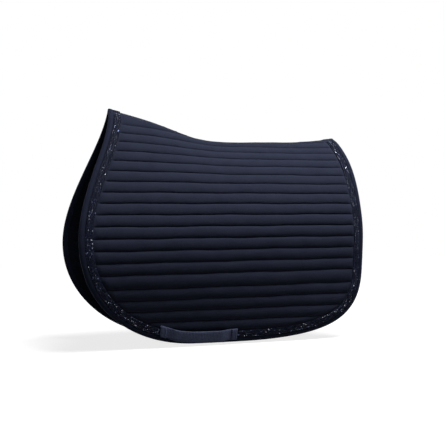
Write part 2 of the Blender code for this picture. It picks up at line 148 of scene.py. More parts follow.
def glow(tree, kind, strength):
    """White light of one strength."""
    node = tree.nodes.new(kind)
    node.inputs["Color"].default_value = (1.0, 1.0, 1.0, 1.0)
    node.inputs["Strength"].default_value = strength
    return node.outputs[0]


world = bpy.data.worlds.new("Studio")
scene.world = world
world.use_nodes = True
sky = world.node_tree
sky.nodes.clear()
seen = glow(sky, "ShaderNodeBackground", 1.0)
lit = glow(sky, "ShaderNodeBackground", WORLD_LIGHT)
surface = white_to_the_eye(sky, seen, lit)
sky.links.new(surface, sky.nodes.new("ShaderNodeOutputWorld").inputs["Surface"])

floor_builder = bmesh.new()
bmesh.ops.create_grid(floor_builder, x_segments=1, y_segments=1, size=FLOOR_SIZE)
floor_height = cad_box[0][2] - FLOOR_GAP
bmesh.ops.translate(floor_builder, vec=(0.0, 0.0, floor_height), verts=floor_builder.verts)
floor_mesh = bpy.data.meshes.new("Floor")
floor_builder.to_mesh(floor_mesh)
floor_builder.free()
floor = bpy.data.objects.new("Floor", floor_mesh)
scene.collection.objects.link(floor)
floor_paint = bpy.data.materials.new("Floor")
floor_paint.use_nodes = True
ground = floor_paint.node_tree
ground.nodes.clear()


def matt_ground(grey):
    """Plain diffuse ground of one grey."""
    matt = ground.nodes.new("ShaderNodeBsdfDiffuse")
    matt.inputs["Color"].default_value = (grey, grey, grey, 1.0)
    return matt.outputs[0]


spot = ground.nodes.new("ShaderNodeTexCoord")
reach = ground.nodes.new("ShaderNodeVectorMath")
reach.operation = "LENGTH"
ground.links.new(spot.outputs["Object"], reach.inputs[0])
fade = ground.nodes.new("ShaderNodeMapRange")
fade.inputs["From Min"].default_value = 0.6
fade.inputs["From Max"].default_value = 1.5
fade.inputs["To Min"].default_value = 0.8
fade.inputs["To Max"].default_value = 1.0
ground.links.new(reach.outputs["Value"], fade.inputs["Value"])
pale = ground.nodes.new("ShaderNodeEmission")
ground.links.new(fade.outputs["Result"], pale.inputs["Strength"])
both = ground.nodes.new("ShaderNodeAddShader")
ground.links.new(matt_ground(FLOOR_GREY_SEEN), both.inputs[0])
ground.links.new(pale.outputs[0], both.inputs[1])
surface = white_to_the_eye(ground, both.outputs[0], matt_ground(FLOOR_GREY_LIT))
ground.links.new(surface, ground.nodes.new("ShaderNodeOutputMaterial").inputs["Surface"])
floor_mesh.materials.append(floor_paint)
print("floor at", round(floor_height, 4))

# %% [markdown]
# ## The cloth laid flat
# Two measures name every place on the pad: x along the horse, and the drop down the cloth from
# the flap seam. The outline is five smooth curves in those measures, and the spine is the curve
# where the two halves meet.

# %% The cloth laid flat
CHANNEL = 0.0254
WIDE_CHANNEL = 0.0302
BOTTOM = 0.287
SPINE_FRONT = (-0.2895, -0.276)
SPINE_REAR = (0.2895, -0.2554)
SPINE_DROPS = (-0.276, -0.2546, -0.2307, -0.2348, -0.2419, -0.2554)
SIDES = {"left": -1, "right": 1}


def curve(start, start_handle, end_handle, end, count=60):
    """Bezier curve as a line of points."""
    t = np.linspace(0.0, 1.0, count)[:, None]
    corners = [np.array(point) for point in (start, start_handle, end_handle, end)]
    weights = ((1 - t) ** 3, 3 * t * (1 - t) ** 2, 3 * t**2 * (1 - t), t**3)
    return sum(weight * corner for weight, corner in zip(weights, corners))


front = curve(SPINE_FRONT, (-0.2915, -0.175), (-0.3775, -0.054), (-0.3775, 0.056))
front_corner = curve((-0.3775, 0.056), (-0.3775, 0.182), (-0.2715, BOTTOM), (-0.1225, BOTTOM))
lower = curve((-0.1225, BOTTOM), (-0.1225, BOTTOM), (-0.0105, BOTTOM), (-0.0105, BOTTOM))
rear_corner = curve((-0.0105, BOTTOM), (0.219, BOTTOM), (0.2695, 0.229), (0.2745, 0.131))
rear = curve((0.2745, 0.131), (0.2835, -0.0185), (0.2865, -0.126), SPINE_REAR)
outline = np.concatenate([front, front_corner[1:], lower[1:], rear_corner[1:], rear[1:]])
steps = np.linalg.norm(np.diff(outline, axis=0), axis=1)
outline_length = np.concatenate([[0.0], np.cumsum(steps)])
edge = outline_length[-1]
along = np.gradient(outline, axis=0)
along /= np.linalg.norm(along, axis=1)[:, None]
inward = np.stack([along[:, 1], -along[:, 0]], axis=1)


def spine_drop(x):
    """Drop of the spine at x: a smooth curve through evenly spaced places."""
    knots = np.linspace(SPINE_FRONT[0], SPINE_REAR[0], len(SPINE_DROPS))
    step = knots[1] - knots[0]
    count = len(knots)
    values = np.array(SPINE_DROPS)
    system = np.eye(count)
    bends = np.zeros(count)
    for i in range(1, count - 1):
        system[i, i - 1 : i + 2] = (1.0, 4.0, 1.0)
        bends[i] = 6.0 * (values[i - 1] - 2.0 * values[i] + values[i + 1]) / step**2
    bend = np.linalg.solve(system, bends)
    x = np.clip(np.asarray(x, dtype=float), knots[0], knots[-1])
    cell = np.clip(((x - knots[0]) / step).astype(int), 0, count - 2)
    ahead = (x - knots[cell]) / step
    behind = 1.0 - ahead
    bow = (behind**3 - behind) * bend[cell] + (ahead**3 - ahead) * bend[cell + 1]
    return behind * values[cell] + ahead * values[cell + 1] + bow * step**2 / 6.0


def rim(position, inset):
    """Places on the outline moved into the cloth, at positions measured along the outer edge."""
    spots = [np.interp(position, outline_length, outline[:, k]) for k in (0, 1)]
    ways = [np.interp(position, outline_length, inward[:, k]) for k in (0, 1)]
    return spots[0] + inset * ways[0], spots[1] + inset * ways[1]


def nearest_edge(x, drop):
    """Distance to the outline, and the position along it, of places on the cloth."""
    spots = np.stack([np.ravel(x), np.ravel(drop)], axis=1)
    distance = np.full(len(spots), 9.0)
    position = np.zeros(len(spots))
    for start, end, length, so_far in zip(outline[:-1], outline[1:], steps, outline_length):
        run = end - start
        share = np.clip(((spots - start) @ run) / max(length**2, 1e-12), 0.0, 1.0)
        away = np.linalg.norm(spots - start - share[:, None] * run, axis=1)
        closer = away < distance
        distance[closer] = away[closer]
        position[closer] = so_far + share[closer] * length
    return distance.reshape(np.shape(x)), position.reshape(np.shape(x))


print("edge is", round(edge, 3), "m long")

# %% [markdown]
# ## Bending the cloth over the back
# Down from the spine the cloth gets steeper until it hangs plumb, and then leans in under the
# belly, more towards the front. The rear edge also rolls in. Adding up the slope gives the place
# of every point, and a lift moves it off the sheet along its normal, so that the cover, the
# filling and the lining share the same bend.

# %% Bending the cloth over the back
SEAM_HALF_WIDTH = 0.135
SEAM_SPLAY = 0.049
SEAM_SLOPE = 75.5
PLUMB = 0.06
LEAN_FROM = 0.187
EDGE_ROLL = 0.009
ROLL_WIDTH = 0.05
DRIFT = 0.0005
shares = (np.arange(48) + 0.5) / 48


def ease(value, low, high):
    """Smooth step from 0 at low to 1 at high."""
    t = np.clip((np.asarray(value, dtype=float) - low) / (high - low), 0.0, 1.0)
    return t * t * (3.0 - 2.0 * t)


def spine_slope(x):
    """Slope beside the spine that lets the cloth reach its flap seam."""
    length = -spine_drop(x)
    reach = SEAM_HALF_WIDTH + SEAM_SPLAY * np.asarray(x, dtype=float)
    seam = math.radians(SEAM_SLOPE)
    low = np.full_like(length, math.radians(2.0))
    high = np.full_like(length, seam - 0.001)
    for _ in range(40):
        middle = (low + high) / 2
        too_far = length * (math.sin(seam) - np.sin(middle)) / (seam - middle) > reach
        low = np.where(too_far, middle, low)
        high = np.where(too_far, high, middle)
    return np.degrees((low + high) / 2)


def slope(x, drop):
    """Slope of the cloth below level, in degrees."""
    above = SEAM_SLOPE + (spine_slope(x) - SEAM_SLOPE) * np.clip(drop / spine_drop(x), 0.0, 1.0)
    to_plumb = np.clip(drop / PLUMB, 0.0, 1.0)
    to_lean = np.clip((drop - PLUMB) / (LEAN_FROM - PLUMB), 0.0, 1.0)
    to_edge = np.clip((drop - BOTTOM + 0.04) / 0.04, 0.0, 1.0)
    below = SEAM_SLOPE + (90.0 - SEAM_SLOPE) * to_plumb + (11.5 - 23.6 * x) * to_lean + 7.5 * to_edge
    return np.where(drop < 0.0, above, below)


def sheet(x, drop):
    """Half width and height of the sheet, from the flap seam."""
    angles = np.radians(slope(x[..., None], drop[..., None] * shares))
    half_width = SEAM_HALF_WIDTH + SEAM_SPLAY * x + drop * np.cos(angles).mean(axis=-1)
    return half_width, -drop * np.sin(angles).mean(axis=-1)


def roll_in(x, drop, distance):
    """How far the cloth rolls in towards the horse beside its rear and lower edge."""
    weight = ease(x, -0.12, 0.2) * ease(drop, -0.16, 0.0)
    return EDGE_ROLL * weight * np.clip(1.0 - distance / ROLL_WIDTH, 0.0, 1.0) ** 2


def drift(x, drop, distance):
    """How far the hand-guided seams wander, away from the edges."""
    wander = np.sin(x * 29.0 + drop * 41.0) + 0.6 * np.sin(x * 67.0 - drop * 83.0 + 1.3)
    return DRIFT * wander * ease(distance, 0.02, 0.08) * ease(drop - spine_drop(x), 0.01, 0.06)


SMALL_STEP = 0.0005


def place(side, x, drop, lift, distance=0.0):
    """World points on the bent cloth, moved off it by lift along its outward normal."""
    given = (np.asarray(value, dtype=float) for value in (x, drop, lift, distance))
    x, drop, lift, distance = np.broadcast_arrays(*given)
    drop = drop + drift(x, drop, distance)
    half_width, height = sheet(x, drop)
    lower_half, lower_height = sheet(x, drop + SMALL_STEP)
    behind_half, behind_height = sheet(x + SMALL_STEP, drop)
    down = np.stack([np.zeros_like(x), lower_half - half_width, lower_height - height], axis=-1)
    back = np.stack([np.full_like(x, SMALL_STEP), behind_half - half_width, behind_height - height], axis=-1)
    normal = np.cross(back, down)
    normal /= np.linalg.norm(normal, axis=-1)[..., None]
    points = np.stack([x, half_width, height + seam_height], axis=-1)
    points = points + (lift - roll_in(x, drop, distance))[..., None] * normal
    return points * np.array([1.0, side, 1.0])


middle = np.array([0.0])
print("spine height at the middle:", round(float(place(1, middle, spine_drop(middle), 0.0)[0, 2]), 4))

# %% [markdown]
# ## The quilting
# Each channel is a soft tube between two seams. Across the tube the cover rises like a flattened
# arch, with a sharp valley at the stitching. Along it, the filling makes slow lumps, and the
# thread draws up short puckers beside the seams. Both come from sums of waves whose starts are
# drawn once for each channel from a fixed seed.

# %% The quilting
above = [-CHANNEL * count for count in range(9, 0, -1)]
below = [0.0] + [CHANNEL * count for count in range(1, 6)]
seams = np.array(above + below + [below[-1] + WIDE_CHANNEL + CHANNEL * count for count in range(5)])
dice = np.random.default_rng(11)
waves = dice.uniform(0.0, 2.0 * math.pi, (len(seams) + 2, 8))
LUMP_LENGTHS = (0.041, 0.063, 0.105)
PUCKER_LENGTHS = (0.0078, 0.0113, 0.0171)
LUMP_SHARE = 0.07
PUCKER_HEIGHT = 0.00045


def channel_of(x, drop):
    """Number of the channel, its width, and the share of the way down it, at a place."""
    number = np.searchsorted(seams, drop)
    ends = np.concatenate([[-1.0], seams, [BOTTOM]])
    top = np.maximum(ends[number], spine_drop(x))
    width = np.maximum(ends[number + 1] - top, 1e-5)
    return number, width, np.clip((drop - top) / width, 0.0, 1.0)


def ripple(x, number, lengths, first):
    """Sum of waves along the channel."""
    total = np.zeros_like(x)
    for index, length in enumerate(lengths):
        total += np.sin(2.0 * math.pi * x / length + waves[number, first + index])
    return total / len(lengths)


def quilt(x, drop, height):
    """Rise of the quilted cloth over its seams."""
    number, width, share = channel_of(x, drop)
    arch = (4.0 * share * (1.0 - share)) ** 0.5
    lumps = 1.0 + LUMP_SHARE * ripple(x, number, LUMP_LENGTHS, 0)
    pucker = ripple(x, number, PUCKER_LENGTHS, 3) * np.exp(-(((arch - 0.35) / 0.3) ** 2))
    full = np.minimum(width / CHANNEL, 1.15) ** 0.8
    return height * full * arch * lumps + PUCKER_HEIGHT * pucker * ease(arch, 0.0, 0.25)


print(len(seams), "seams, from", round(seams[0], 3), "to", round(seams[-1], 3))

# %% [markdown]
# ## Cloths and their finishes
# Every woven piece carries a map of its own cloth, in metres, so a weave keeps its size wherever
# the cloth bends. The finish mixes a fine weave, a slow change of shade where the dye took
# unevenly, and the nap that catches light.

# %% Cloths and their finishes


class Finish:
    """A material on its way: short calls that add and join nodes."""

    def __init__(self, name, roughness, gloss):
        self.material = bpy.data.materials.new(name)
        self.material.use_nodes = True
        self.tree = self.material.node_tree
        self.shader = self.tree.nodes["Principled BSDF"]
        self.shader.inputs["Roughness"].default_value = roughness
        self.shader.inputs["Specular IOR Level"].default_value = gloss

    def node(self, kind, **values):
        """A new node with some of its settings."""
        made = self.tree.nodes.new(kind)
        for key, value in values.items():
            setattr(made, key, value)
        return made

    def join(self, start, end):
        """Leads one socket to another."""
        self.tree.links.new(start, end)

    def cloth_map(self, turn=0.0, stretch=(1.0, 1.0, 1.0)):
        """The piece's own map of its cloth."""
        source = self.node("ShaderNodeUVMap", uv_map="cloth")
        mapping = self.node("ShaderNodeMapping")
        mapping.inputs["Rotation"].default_value = (0.0, 0.0, math.radians(turn))
        mapping.inputs["Scale"].default_value = stretch
        self.join(source.outputs["UV"], mapping.inputs["Vector"])
        return mapping.outputs["Vector"]

    def ribs(self, vector, pitch, direction="X"):
        """Even ribs, one in each pitch."""
        wave = self.node("ShaderNodeTexWave", wave_type="BANDS", bands_direction=direction)
        wave.inputs["Scale"].default_value = math.pi / (10.0 * pitch)
        wave.inputs["Distortion"].default_value = 0.0
        self.join(vector, wave.inputs["Vector"])
        return wave.outputs["Fac"]

    def cloud(self, vector, size, detail=3.0):
        """Soft noise with patches of one size."""
        noise = self.node("ShaderNodeTexNoise")
        noise.inputs["Scale"].default_value = 1.0 / size
        noise.inputs["Detail"].default_value = detail
        self.join(vector, noise.inputs["Vector"])
        return noise.outputs["Fac"]

    def combine(self, first, second, how, share=1.0):
        """One number from two."""
        math_node = self.node("ShaderNodeMath", operation=how)
        self.join(first, math_node.inputs[0])
        if second is None:
            math_node.inputs[1].default_value = share
        else:
            self.join(second, math_node.inputs[1])
        return math_node.outputs[0]

    def shade(self, fac, *stops):
        """Colour from a number, through stops of (place, colour)."""
        ramp = self.node("ShaderNodeValToRGB")
        band = ramp.color_ramp
        while len(band.elements) < len(stops):
            band.elements.new(0.5)
        for element, (spot, colour) in zip(band.elements, stops):
            element.position = spot
            element.color = (*colour, 1.0)
        self.join(fac, ramp.inputs["Fac"])
        return ramp.outputs["Color"]

    def coat(self, colour):
        """The colour of the surface."""
        self.join(colour, self.shader.inputs["Base Color"])

    def bumps(self, height, strength, distance):
        """Fine relief too small to model."""
        bump = self.node("ShaderNodeBump")
        bump.inputs["Strength"].default_value = strength
        bump.inputs["Distance"].default_value = distance
        self.join(height, bump.inputs["Height"])
        self.join(bump.outputs["Normal"], self.shader.inputs["Normal"])

    def nap(self, weight, tint, roughness=0.4):
        """The sheen of short fibres."""
        self.shader.inputs["Sheen Weight"].default_value = weight
        self.shader.inputs["Sheen Tint"].default_value = (*tint, 1.0)
        self.shader.inputs["Sheen Roughness"].default_value = roughness


def woven(name, dark, light, pitch, roughness, nap, tint, turn=32.0, bump=0.5, gloss=0.06):
    """A twill: slanting ribs over a straight weave, with uneven dye."""
    made = Finish(name, roughness, gloss)
    twill = made.ribs(made.cloth_map(turn), pitch)
    threads = made.ribs(made.cloth_map(), pitch * 0.62, "Y")
    weave = made.combine(twill, threads, "ADD")
    dye = made.cloud(made.cloth_map(), 0.045)
    fluff = made.cloud(made.cloth_map(), 0.0035, 5.0)
    tone = made.combine(made.combine(dye, fluff, "ADD"), made.combine(weave, None, "MULTIPLY", 0.18), "ADD")
    even = made.combine(tone, None, "MULTIPLY", 0.72)
    made.coat(made.shade(even, (0.45, dark), (1.0, light)))
    made.bumps(made.combine(weave, fluff, "ADD"), bump, 0.00018)
    made.nap(nap, tint)
    made.shader.inputs["Specular Tint"].default_value = (*tint, 1.0)
    return made.material


NIGHT = (0.5, 0.6, 1.0)
WHITE = (1.0, 1.0, 1.0)
cover_colours = (0.0168, 0.0198, 0.0350), (0.0240, 0.0280, 0.0480)
lining_colours = (0.0056, 0.0065, 0.0105), (0.0105, 0.0122, 0.0200)
tape_colours = (0.0115, 0.0137, 0.0265), (0.0165, 0.0196, 0.037)
webbing_colours = (0.056, 0.066, 0.114), (0.140, 0.164, 0.278)
band_colours = (0.0060, 0.0072, 0.014), (0.0095, 0.0112, 0.022)
fill_colours = (0.52, 0.52, 0.50), (0.68, 0.68, 0.66)
cover_cloth = woven("quilted_cover", *cover_colours, 0.0009, 0.85, 0.03, NIGHT)
lining_cloth = woven("lining", *lining_colours, 0.0012, 0.9, 0.02, NIGHT, 90.0)
tape_cloth = woven("binding_tape", *tape_colours, 0.0006, 0.7, 0.03, NIGHT, 8.0, 0.3, 0.04)
webbing_cloth = woven("keeper_webbing", *webbing_colours, 0.0034, 0.75, 0.03, NIGHT, 0.0, 1.0, 0.04)
band_cloth = woven("sequin_band", *band_colours, 0.0008, 0.8, 0.02, NIGHT)
fibre_fill = woven("wadding", *fill_colours, 0.004, 0.95, 0.2, WHITE)


def twisted_thread(name, dark, light):
    """Sewing thread: a soft change of shade from stitch to stitch."""
    made = Finish(name, 0.7, 0.05)
    spot = made.node("ShaderNodeTexCoord").outputs["Object"]
    made.coat(made.shade(made.cloud(spot, 0.004), (0.35, dark), (0.65, light)))
    made.bumps(made.cloud(spot, 0.0006), 0.4, 0.0001)
    return made.material


# The thread is darker than the cover: partly its own colour, partly painted shade that deepens the seam
# valleys.
thread_with_painted_seam_shade = twisted_thread("seam_thread", (0.0060, 0.0072, 0.0140), (0.0105, 0.0125, 0.0240))


def stone_paint(name, roughness, gloss, metal, *stops):
    """Finish of cut stones, coloured by the number kept on each; the near-white stops are painted glints."""
    made = Finish(name, roughness, gloss)
    mark = made.node("ShaderNodeAttribute", attribute_name="sparkle")
    made.coat(made.shade(mark.outputs["Fac"], *stops))
    made.shader.inputs["Metallic"].default_value = metal
    return made.material


# Stones with a number above this cut are painted near-white as glints; the rest get a random dark tone.
PAINTED_GLINT_CUT = 0.94
dark_stops = (0.0, (0.004, 0.005, 0.011)), (0.7, (0.028, 0.035, 0.076))
dark_stones = stone_paint("dark_stones", 0.25, 0.1, 0.0, *dark_stops)
# Near-white colours for the few glint stones: painted glints, on top of their real metal reflection.
painted_glint_stops = (PAINTED_GLINT_CUT, (0.05, 0.065, 0.14)), (0.97, (0.24, 0.29, 0.48)), (1.0, (0.85, 0.90, 1.0))
pale_stones = stone_paint("pale_stones", 0.15, 0.5, 0.7, *painted_glint_stops)
print(len(bpy.data.materials), "finishes")

# %% [markdown]
# ## From a flat grid to a piece of cloth
# Each panel starts as an even grid, laid out in the measures of the cloth, with rows set closer
# together beside the seams so that the valleys stay sharp. What hangs over the outline is cut
# away, the cut edge is pulled onto the outline, and only then is the panel bent. The left and
# right halves are the same steps with the side changed.

# %% From a flat grid to a piece of cloth


def spread(bm, columns, rows):
    """Moves the points of an even grid onto given columns and rows."""
    spots = np.array([vert.co for vert in bm.verts])
    column = np.rint((spots[:, 0] + 1.0) / 2.0 * (len(columns) - 1)).astype(int)
    row = np.rint((spots[:, 1] + 1.0) / 2.0 * (len(rows) - 1)).astype(int)
    for vert, x, y in zip(bm.verts, np.asarray(columns)[column], np.asarray(rows)[row]):
        vert.co = (x, y, 0.0)


def even_grid(columns, rows):
    """A flat bmesh grid with its points on given columns and rows."""
    bm = bmesh.new()
    bmesh.ops.create_grid(bm, x_segments=len(columns) - 1, y_segments=len(rows) - 1, size=1.0)
    spread(bm, columns, rows)
    return bm


def link_piece(name, mesh):
    """An object for a mesh, in the scene."""
    made = bpy.data.objects.new(name, mesh)
    scene.collection.objects.link(made)
    return made


def shape_piece(name, bm, shape):
    """Moves every point of a flat bmesh to where shape(x, y) puts it, and makes it an object."""
    mesh = bpy.data.meshes.new(name)
    bm.to_mesh(mesh)
    bm.free()
    flat = np.zeros(len(mesh.vertices) * 3)
    mesh.vertices.foreach_get("co", flat)
    points = shape(flat.reshape(-1, 3)[:, 0], flat.reshape(-1, 3)[:, 1])
    mesh.vertices.foreach_set("co", points.ravel())
    mesh.update()
    return link_piece(name, mesh)


def gather(name, batches):
    """One object from many small bmeshes, each freed once it is added."""
    mesh = bpy.data.meshes.new(name)
    gathered = bmesh.new()
    for batch in batches:
        batch.to_mesh(mesh)
        batch.free()
        gathered.from_mesh(mesh)
    gathered.to_mesh(mesh)
    gathered.free()
    return link_piece(name, mesh)


def map_cloth(bm):
    """Keeps the flat place of every corner as the cloth map."""
    layer = bm.loops.layers.uv.new("cloth")
    for face in bm.faces:
        for loop in face.loops:
            loop[layer].uv = loop.vert.co.xy


def inside(x, drop, border):
    """Whether places lie inside a closed line."""
    crossed = np.zeros(len(x), dtype=bool)
    for (ax, ay), (bx, by) in zip(border, np.roll(border, -1, axis=0)):
        spans = (ay > drop) != (by > drop)
        if ay != by:
            crossed ^= spans & (x < (bx - ax) * (drop - ay) / (by - ay) + ax)
    return crossed


def pull_to(x, drop, border):
    """Nearest places on a closed line."""
    spots = np.stack([x, drop], axis=1)
    best = np.full(len(spots), 9.0)
    found = spots.copy()
    for start, end in zip(border, np.roll(border, -1, axis=0)):
        run = end - start
        share = np.clip(((spots - start) @ run) / max(run @ run, 1e-12), 0.0, 1.0)
        on_line = start + share[:, None] * run
        away = np.linalg.norm(spots - on_line, axis=1)
        closer = away < best
        best[closer] = away[closer]
        found[closer] = on_line[closer]
    return found


def border_line(inset):
    """Closed edge of a panel: the outline moved in, and back along the spine."""
    x, drop = rim(np.linspace(0.0, edge, 420), inset)
    above_spine = drop < spine_drop(x)
    drop = np.where(above_spine, spine_drop(x), drop)
    spine_x = np.linspace(x[-1], x[0], 120)[1:-1]
    spine = np.stack([spine_x, spine_drop(spine_x)], axis=1)
    return np.concatenate([np.stack([x, drop], axis=1), spine])


PANEL_REACH = (-0.40, 0.31)


def flat_panel(inset, column_width, rows):
    """A bmesh of the panel, flat and cut to its edge."""
    bm = even_grid(np.arange(*PANEL_REACH, column_width), rows)
    border = border_line(inset)
    spots = np.array([vert.co for vert in bm.verts])
    outside = ~inside(spots[:, 0], spots[:, 1], border)
    waste = [vert for vert, out in zip(bm.verts, outside) if out]
    bmesh.ops.delete(bm, geom=waste, context="VERTS")
    rim_verts = [vert for vert in bm.verts if vert.is_boundary]
    spots = np.array([vert.co for vert in rim_verts])
    for vert, (x, y) in zip(rim_verts, pull_to(spots[:, 0], spots[:, 1], border)):
        vert.co = (x, y, 0.0)
    loose = [vert for vert in bm.verts if not vert.link_faces]
    bmesh.ops.delete(bm, geom=loose, context="VERTS")
    map_cloth(bm)
    return bm


def channel_rows(cuts):
    """Rows at given shares of every channel."""
    ends = np.concatenate([[-0.2794], seams, [BOTTOM]])
    rows = [start + (end - start) * share for start, end in zip(ends[:-1], ends[1:]) for share in cuts]
    return np.array(rows + [BOTTOM])


fine_cuts = (0.0, 0.035, 0.09, 0.17, 0.28, 0.42, 0.58, 0.72, 0.83, 0.91, 0.965)
coarse_cuts = (0.0, 0.05, 0.14, 0.34, 0.66, 0.86, 0.95)
fill_cuts = (0.0, 0.25, 0.5, 0.75)
print(len(channel_rows(fine_cuts)), "rows in the cover")

# %% [markdown]
# ## Cover, filling and lining
# The cover puffs out between its seams and lies flat under the band and the binding. The lining
# does the same on the horse's side, but flatter, since it presses on the back. The filling is a
# closed body between the two.

# %% Cover, filling and lining
COVER = 0.001
LINING = 0.0008
SEAM_RISE = 0.0009
TRIM = 0.0285
SPINE_RISE = 0.0006
AT_SPINE = 0.0004
PANEL_INSET = 0.004
COVER_PUFF = 0.0054
LINING_PUFF = 0.0044
EDGE_RISE = 0.0034
FILL_INSET = 0.0065
FILL_PUFF = 0.0030
FILL_THICKNESS = 0.007
FULL_RISE = 0.0045
blend_start = {name: (0.0, side * 0.135, seam_height + 0.012) for name, side in SIDES.items()}
blend_end = {name: (0.0, side * 0.135, seam_height - 0.012) for name, side in SIDES.items()}


def layer_lift(x, drop, distance, height, edge_rise):
    """Rise of a layer off the middle sheet: quilted in the field, level under the trim, low at the spine."""
    field = SEAM_RISE + quilt(x, drop, height)
    mixed = edge_rise + (field - edge_rise) * ease(distance, TRIM - 0.001, TRIM + 0.006)
    at_spine = ease(drop - spine_drop(x), 0.0, 0.006)
    return SPINE_RISE + (mixed - SPINE_RISE) * at_spine


def bend_panel(name, bm, side, lift_of):
    """Bends a flat panel over the back and makes it an object."""

    def shape(x, drop):
        distance, _ = nearest_edge(x, drop)
        points = place(side, x, drop, lift_of(x, drop, distance), distance)
        points[drop < spine_drop(x) + AT_SPINE, 1] = 0.0
        return points

    return shape_piece(name, bm, shape)


def thicken(made, thickness, offset=-1.0):
    """Gives a thin piece its thickness."""
    shell = made.modifiers.new("Thickness", "SOLIDIFY")
    shell.thickness = thickness
    shell.offset = offset
    return shell


def face_towards(made, side, outward):
    """Turns an open piece so that its faces look away from the horse, or towards it."""
    mesh = made.data
    normals = np.zeros(len(mesh.polygons) * 3)
    mesh.polygons.foreach_get("normal", normals)
    mean = normals.reshape(-1, 3)[:, 1].mean() * side
    if (mean > 0.0) != outward:
        mesh.flip_normals()


def finish_piece(made, material, kind, *nodes):
    """Smooth faces, a finish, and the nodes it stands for."""
    made.data.materials.append(material)
    made.data.polygons.foreach_set("use_smooth", [True] * len(made.data.polygons))
    if nodes:
        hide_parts(*nodes)
    return made


def cover_lift(x, drop, distance):
    """Rise of the cover."""
    return layer_lift(x, drop, distance, COVER_PUFF, EDGE_RISE)


def lining_lift(x, drop, distance):
    """Rise of the lining, towards the horse."""
    return -layer_lift(x, drop, distance, LINING_PUFF, EDGE_RISE)


def stuff(filling):
    """Makes the filling as thick as the room between the cover and the lining at every point."""
    mesh = filling.data
    spots = np.array([loop.uv[:] for loop in mesh.uv_layers["cloth"].data])
    corner = np.zeros(len(mesh.loops), dtype=int)
    mesh.loops.foreach_get("vertex_index", corner)
    x, drop = spots[:, 0], spots[:, 1]
    near = nearest_edge(x, drop)[0]
    clear_of_spine = ease(drop - spine_drop(x), 0.006, 0.030)
    rise = np.zeros(len(mesh.vertices))
    rise[corner] = (layer_lift(x, drop, near, FILL_PUFF, FILL_PUFF) - SEAM_RISE) * clear_of_spine
    group = filling.vertex_groups.new(name="fullness")
    for index, height in enumerate(rise):
        group.add([index], float(np.clip(height / FULL_RISE, 0.02, 1.0)), "REPLACE")
    thicken(filling, FILL_THICKNESS, 0.0).vertex_group = group.name


for name, side in SIDES.items():
    flat = flat_panel(PANEL_INSET, 0.0042, channel_rows(fine_cuts))
    cover = bend_panel(f"{name}_cover", flat, side, cover_lift)
    face_towards(cover, side, True)
    thicken(cover, COVER)
    finish_piece(cover, cover_cloth, "quilted_cover", f"{name}_seat_cover", f"{name}_flap_cover")

    flat = flat_panel(PANEL_INSET, 0.0062, channel_rows(coarse_cuts))
    lining = bend_panel(f"{name}_lining", flat, side, lining_lift)
    face_towards(lining, side, False)
    thicken(lining, LINING)
    finish_piece(lining, lining_cloth, "lining", f"{name}_seat_lining", f"{name}_flap_lining")

    flat = flat_panel(FILL_INSET, 0.0125, channel_rows(fill_cuts))
    filling = bend_panel(f"{name}_filling", flat, side, lambda x, drop, distance: np.zeros_like(x))
    stuff(filling)
    finish_piece(filling, fibre_fill, "wadding", f"{name}_seat_wadding", f"{name}_flap_wadding")

    for piece in (cover, lining, filling):
        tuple(blend_start[name])
        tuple(blend_end[name])
        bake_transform(piece)
    print(name, "cover", len(cover.data.polygons), "faces, lining", len(lining.data.polygons))

# %% [markdown]
# ## Binding and band
# The binding is a tape folded over the raw edges of the three layers, and the band is a flat
# ribbon sewn beside it. Both are strips that follow the outline: a short profile across, and one
# row for each few millimetres along. At the two ends they meet their mirror image over the spine,
# so the last row is brought to the middle plane.

# %% Binding and band
TAPE_WIDTH = 0.0115
EDGE_PARTS = ("seat_front", "seat_rear", "flap")
ROW_SPACING = 0.0032
binding_profile = (
    (0.0116, 0.0043), (0.0112, 0.0051), (0.0085, 0.0056), (0.0055, 0.0055), (0.0030, 0.0049),
    (0.0012, 0.0038), (0.0002, 0.0020), (-0.0001, 0.0), (0.0002, -0.0020), (0.0012, -0.0038),
    (0.0030, -0.0048), (0.0060, -0.0052), (0.0110, -0.0049), (0.0116, -0.0044),
)
band_profile = ((0.0118, 0.0040), (0.0125, 0.0049), (0.0200, 0.0051), (0.0275, 0.0049), (0.0284, 0.0040))


def along_edge(side, position, inset, lift):
    """World points beside the outline, at positions along it."""
    x, drop = rim(position, inset)
    drop = np.maximum(drop, spine_drop(x))
    lift = lift * (0.4 + 0.6 * ease(np.minimum(position, edge - position), 0.0, 0.03))
    points = place(side, x, drop, lift, np.maximum(inset, 0.0))
    at_end = (position < 0.0004) | (position > edge - 0.0004)
    ridge = place(side, x, spine_drop(x), 0.0)
    rise = lift / np.cos(np.radians(spine_slope(x)))
    points[at_end, 0] = x[at_end]
    points[at_end, 1] = 0.0
    points[at_end, 2] = (ridge[:, 2] + rise)[at_end]
    return points


def strip(name, side, profile, spacing, wobble=0.0):
    """A ribbon along the whole edge."""
    across = np.concatenate([[0.0], np.cumsum(np.linalg.norm(np.diff(profile, axis=0), axis=1))])
    bm = even_grid(across, np.linspace(0.0, edge, int(edge / spacing)))
    map_cloth(bm)

    def shape(u, position):
        inset = np.interp(u, across, [spot[0] for spot in profile])
        lift = np.interp(u, across, [spot[1] for spot in profile])
        turns = position * 2.0 * math.pi
        gathers = np.sin(turns / 0.0093) + np.sin(turns / 0.0247 + 1.0)
        return along_edge(side, position, inset, lift * (1.0 + wobble * gathers))

    return shape_piece(name, bm, shape)


